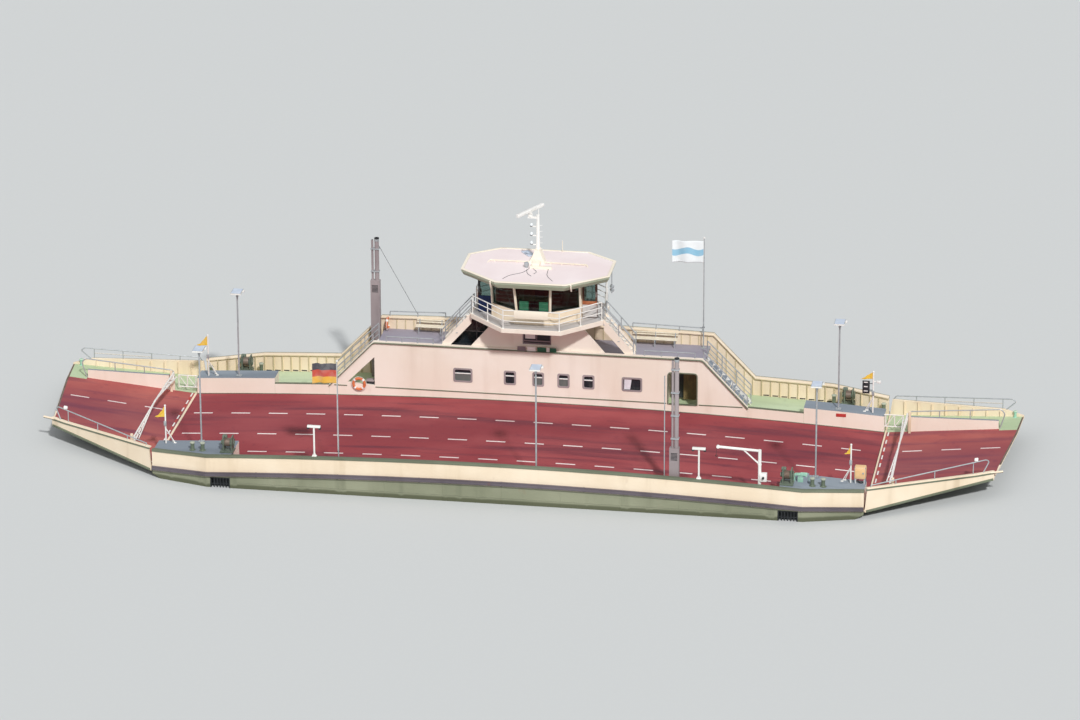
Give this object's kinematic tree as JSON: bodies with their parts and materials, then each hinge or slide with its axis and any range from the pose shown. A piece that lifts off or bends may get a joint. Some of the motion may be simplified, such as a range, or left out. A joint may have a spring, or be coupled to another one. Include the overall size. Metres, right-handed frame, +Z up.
{
  "type": "scale model of a double-ended river car ferry, 1:2",
  "caption": "Double-ended car and passenger ferry, 1:2 scale model: open car deck, hinged end ramps with barriers, side deckhouse, raised wheelhouse, steering thrusters.",
  "frame": {"origin": "on the centreline, amidships, at the waterline", "axes": "+X to the right-hand end of the boat, -Y to the side with the low bulwark, +Z up"},
  "size_m": [25.3, 7.534, 6.69],
  "materials": {
    "hull_paint": "olive grey-green, worn satin",
    "deck_paint": "brick red deck paint, matt, with white lane marks",
    "rub_rail_paint": "mauve grey, scraped",
    "cream_paint": "pinkish cream, satin",
    "walkway_paint": "light green non-slip, matt",
    "grey_deck_paint": "blue grey non-slip, matt",
    "white_paint": "white, satin",
    "galvanised_steel": "galvanised, dull",
    "window_glass": "tinted, glossy",
    "roof_paint": "pinkish white, matt",
    "winch_paint": "grey green, satin",
    "bronze": "cast bronze, dull",
    "flag_cloth": "light woven polyester"
  },
  "bodies": {
    "boat": {"hull": "hull_paint", "car_deck": "deck_paint", "rub_rail_near": "rub_rail_paint", "rub_rail_far": "rub_rail_paint", "bulwark_near": "cream_paint", "bulwark_far": "cream_paint", "side_deck": "walkway_paint", "platform_near_left": "grey_deck_paint", "platform_near_right": "grey_deck_paint", "platform_far_left": "grey_deck_paint", "platform_far_right": "grey_deck_paint", "deckhouse": "cream_paint", "upper_deck": "grey_deck_paint", "deck_stair_left": "white_paint", "deck_stair_right": "white_paint", "bridge_tower": "cream_paint", "balcony": "white_paint", "bridge_stair_left": "cream_paint", "bridge_stair_right": "cream_paint", "stair_screen": "window_glass", "wheelhouse": "cream_paint", "glass_front": "window_glass", "glass_rear": "window_glass", "wheelhouse_roof": "roof_paint", "mast": "white_paint", "exhaust_near": "galvanised_steel", "exhaust_far": "galvanised_steel", "lamp_near_left": "galvanised_steel", "lamp_near_right": "galvanised_steel", "lamp_near_middle": "galvanised_steel", "lamp_far_left": "galvanised_steel", "lamp_far_right": "galvanised_steel", "flagpole_near": "white_paint", "flag_near": "flag_cloth", "flagpole_far": "white_paint", "flag_far": "flag_cloth", "signal_post_near_left": "white_paint", "signal_post_near_right": "white_paint", "signal_post_far_left": "white_paint", "signal_post_far_right": "white_paint", "winch_near_left": "winch_paint", "winch_near_right": "winch_paint", "winch_far_left": "winch_paint", "winch_far_right": "winch_paint", "davit_socket": "white_paint"},
    "ramp_left": {"ramp_left": "deck_paint"},
    "ramp_right": {"ramp_right": "deck_paint"},
    "barrier_near_left": {"barrier_near_left": "white_paint"},
    "barrier_far_left": {"barrier_far_left": "white_paint"},
    "barrier_near_right": {"barrier_near_right": "white_paint"},
    "barrier_far_right": {"barrier_far_right": "white_paint"},
    "radar": {"radar_scanner": "white_paint"},
    "davit": {"davit": "white_paint"},
    "thruster_left": {"thruster_left": "hull_paint"},
    "thruster_right": {"thruster_right": "hull_paint"},
    "propeller_left": {"propeller_left": "bronze"},
    "propeller_right": {"propeller_right": "bronze"},
    "door_left": {"wheelhouse_door_left": "cream_paint"},
    "door_right": {"wheelhouse_door_right": "cream_paint"}
  },
  "joints": [
    {"name": "ramp_left_hinge", "type": "hinge", "parent": "boat", "child": "ramp_left", "pos_m": [-9.13, 0, 0.228], "axis": [0, 1, 0], "range_deg": [-14, 6]},
    {"name": "ramp_right_hinge", "type": "hinge", "parent": "boat", "child": "ramp_right", "pos_m": [9.13, 0, 0.228], "axis": [0, -1, 0], "range_deg": [-14, 6]},
    {"name": "barrier_near_left_lift", "type": "hinge", "parent": "ramp_left", "child": "barrier_near_left", "pos_m": [-9.7, -2.6367, 0.78], "axis": [1, 0, 0], "range_deg": [0, 80]},
    {"name": "barrier_far_left_lift", "type": "hinge", "parent": "ramp_left", "child": "barrier_far_left", "pos_m": [-9.7, 1.875, 0.78], "axis": [-1, 0, 0], "range_deg": [0, 80]},
    {"name": "barrier_near_right_lift", "type": "hinge", "parent": "ramp_right", "child": "barrier_near_right", "pos_m": [9.7, -2.6367, 0.78], "axis": [1, 0, 0], "range_deg": [0, 80]},
    {"name": "barrier_far_right_lift", "type": "hinge", "parent": "ramp_right", "child": "barrier_far_right", "pos_m": [9.7, 1.875, 0.78], "axis": [-1, 0, 0], "range_deg": [0, 80]},
    {"name": "radar_spin", "type": "hinge", "parent": "boat", "child": "radar", "pos_m": [-0.26, 2.56, 5.6], "axis": [0, 0, 1], "continuous": true},
    {"name": "davit_swing", "type": "hinge", "parent": "boat", "child": "davit", "pos_m": [6.495, -3.4, 1.2], "axis": [0, 0, 1], "range_deg": [-110, 110]},
    {"name": "thruster_left_steer", "type": "hinge", "parent": "boat", "child": "thruster_left", "pos_m": [-7.8, 1.7, -0.6], "axis": [0, 0, 1], "continuous": true},
    {"name": "propeller_left_spin", "type": "hinge", "parent": "thruster_left", "child": "propeller_left", "pos_m": [-8.05, 1.7, -0.8], "axis": [1, 0, 0], "continuous": true},
    {"name": "thruster_right_steer", "type": "hinge", "parent": "boat", "child": "thruster_right", "pos_m": [7.8, -1.7, -0.6], "axis": [0, 0, 1], "continuous": true},
    {"name": "propeller_right_spin", "type": "hinge", "parent": "thruster_right", "child": "propeller_right", "pos_m": [8.05, -1.7, -0.8], "axis": [1, 0, 0], "continuous": true},
    {"name": "door_left_hinge", "type": "hinge", "parent": "boat", "child": "door_left", "pos_m": [-1.167, 2.088, 3.4], "axis": [0, 0, 1], "range_deg": [-90, 5]},
    {"name": "door_right_hinge", "type": "hinge", "parent": "boat", "child": "door_right", "pos_m": [1.167, 2.088, 3.4], "axis": [0, 0, -1], "range_deg": [-90, 5]}
  ]
}
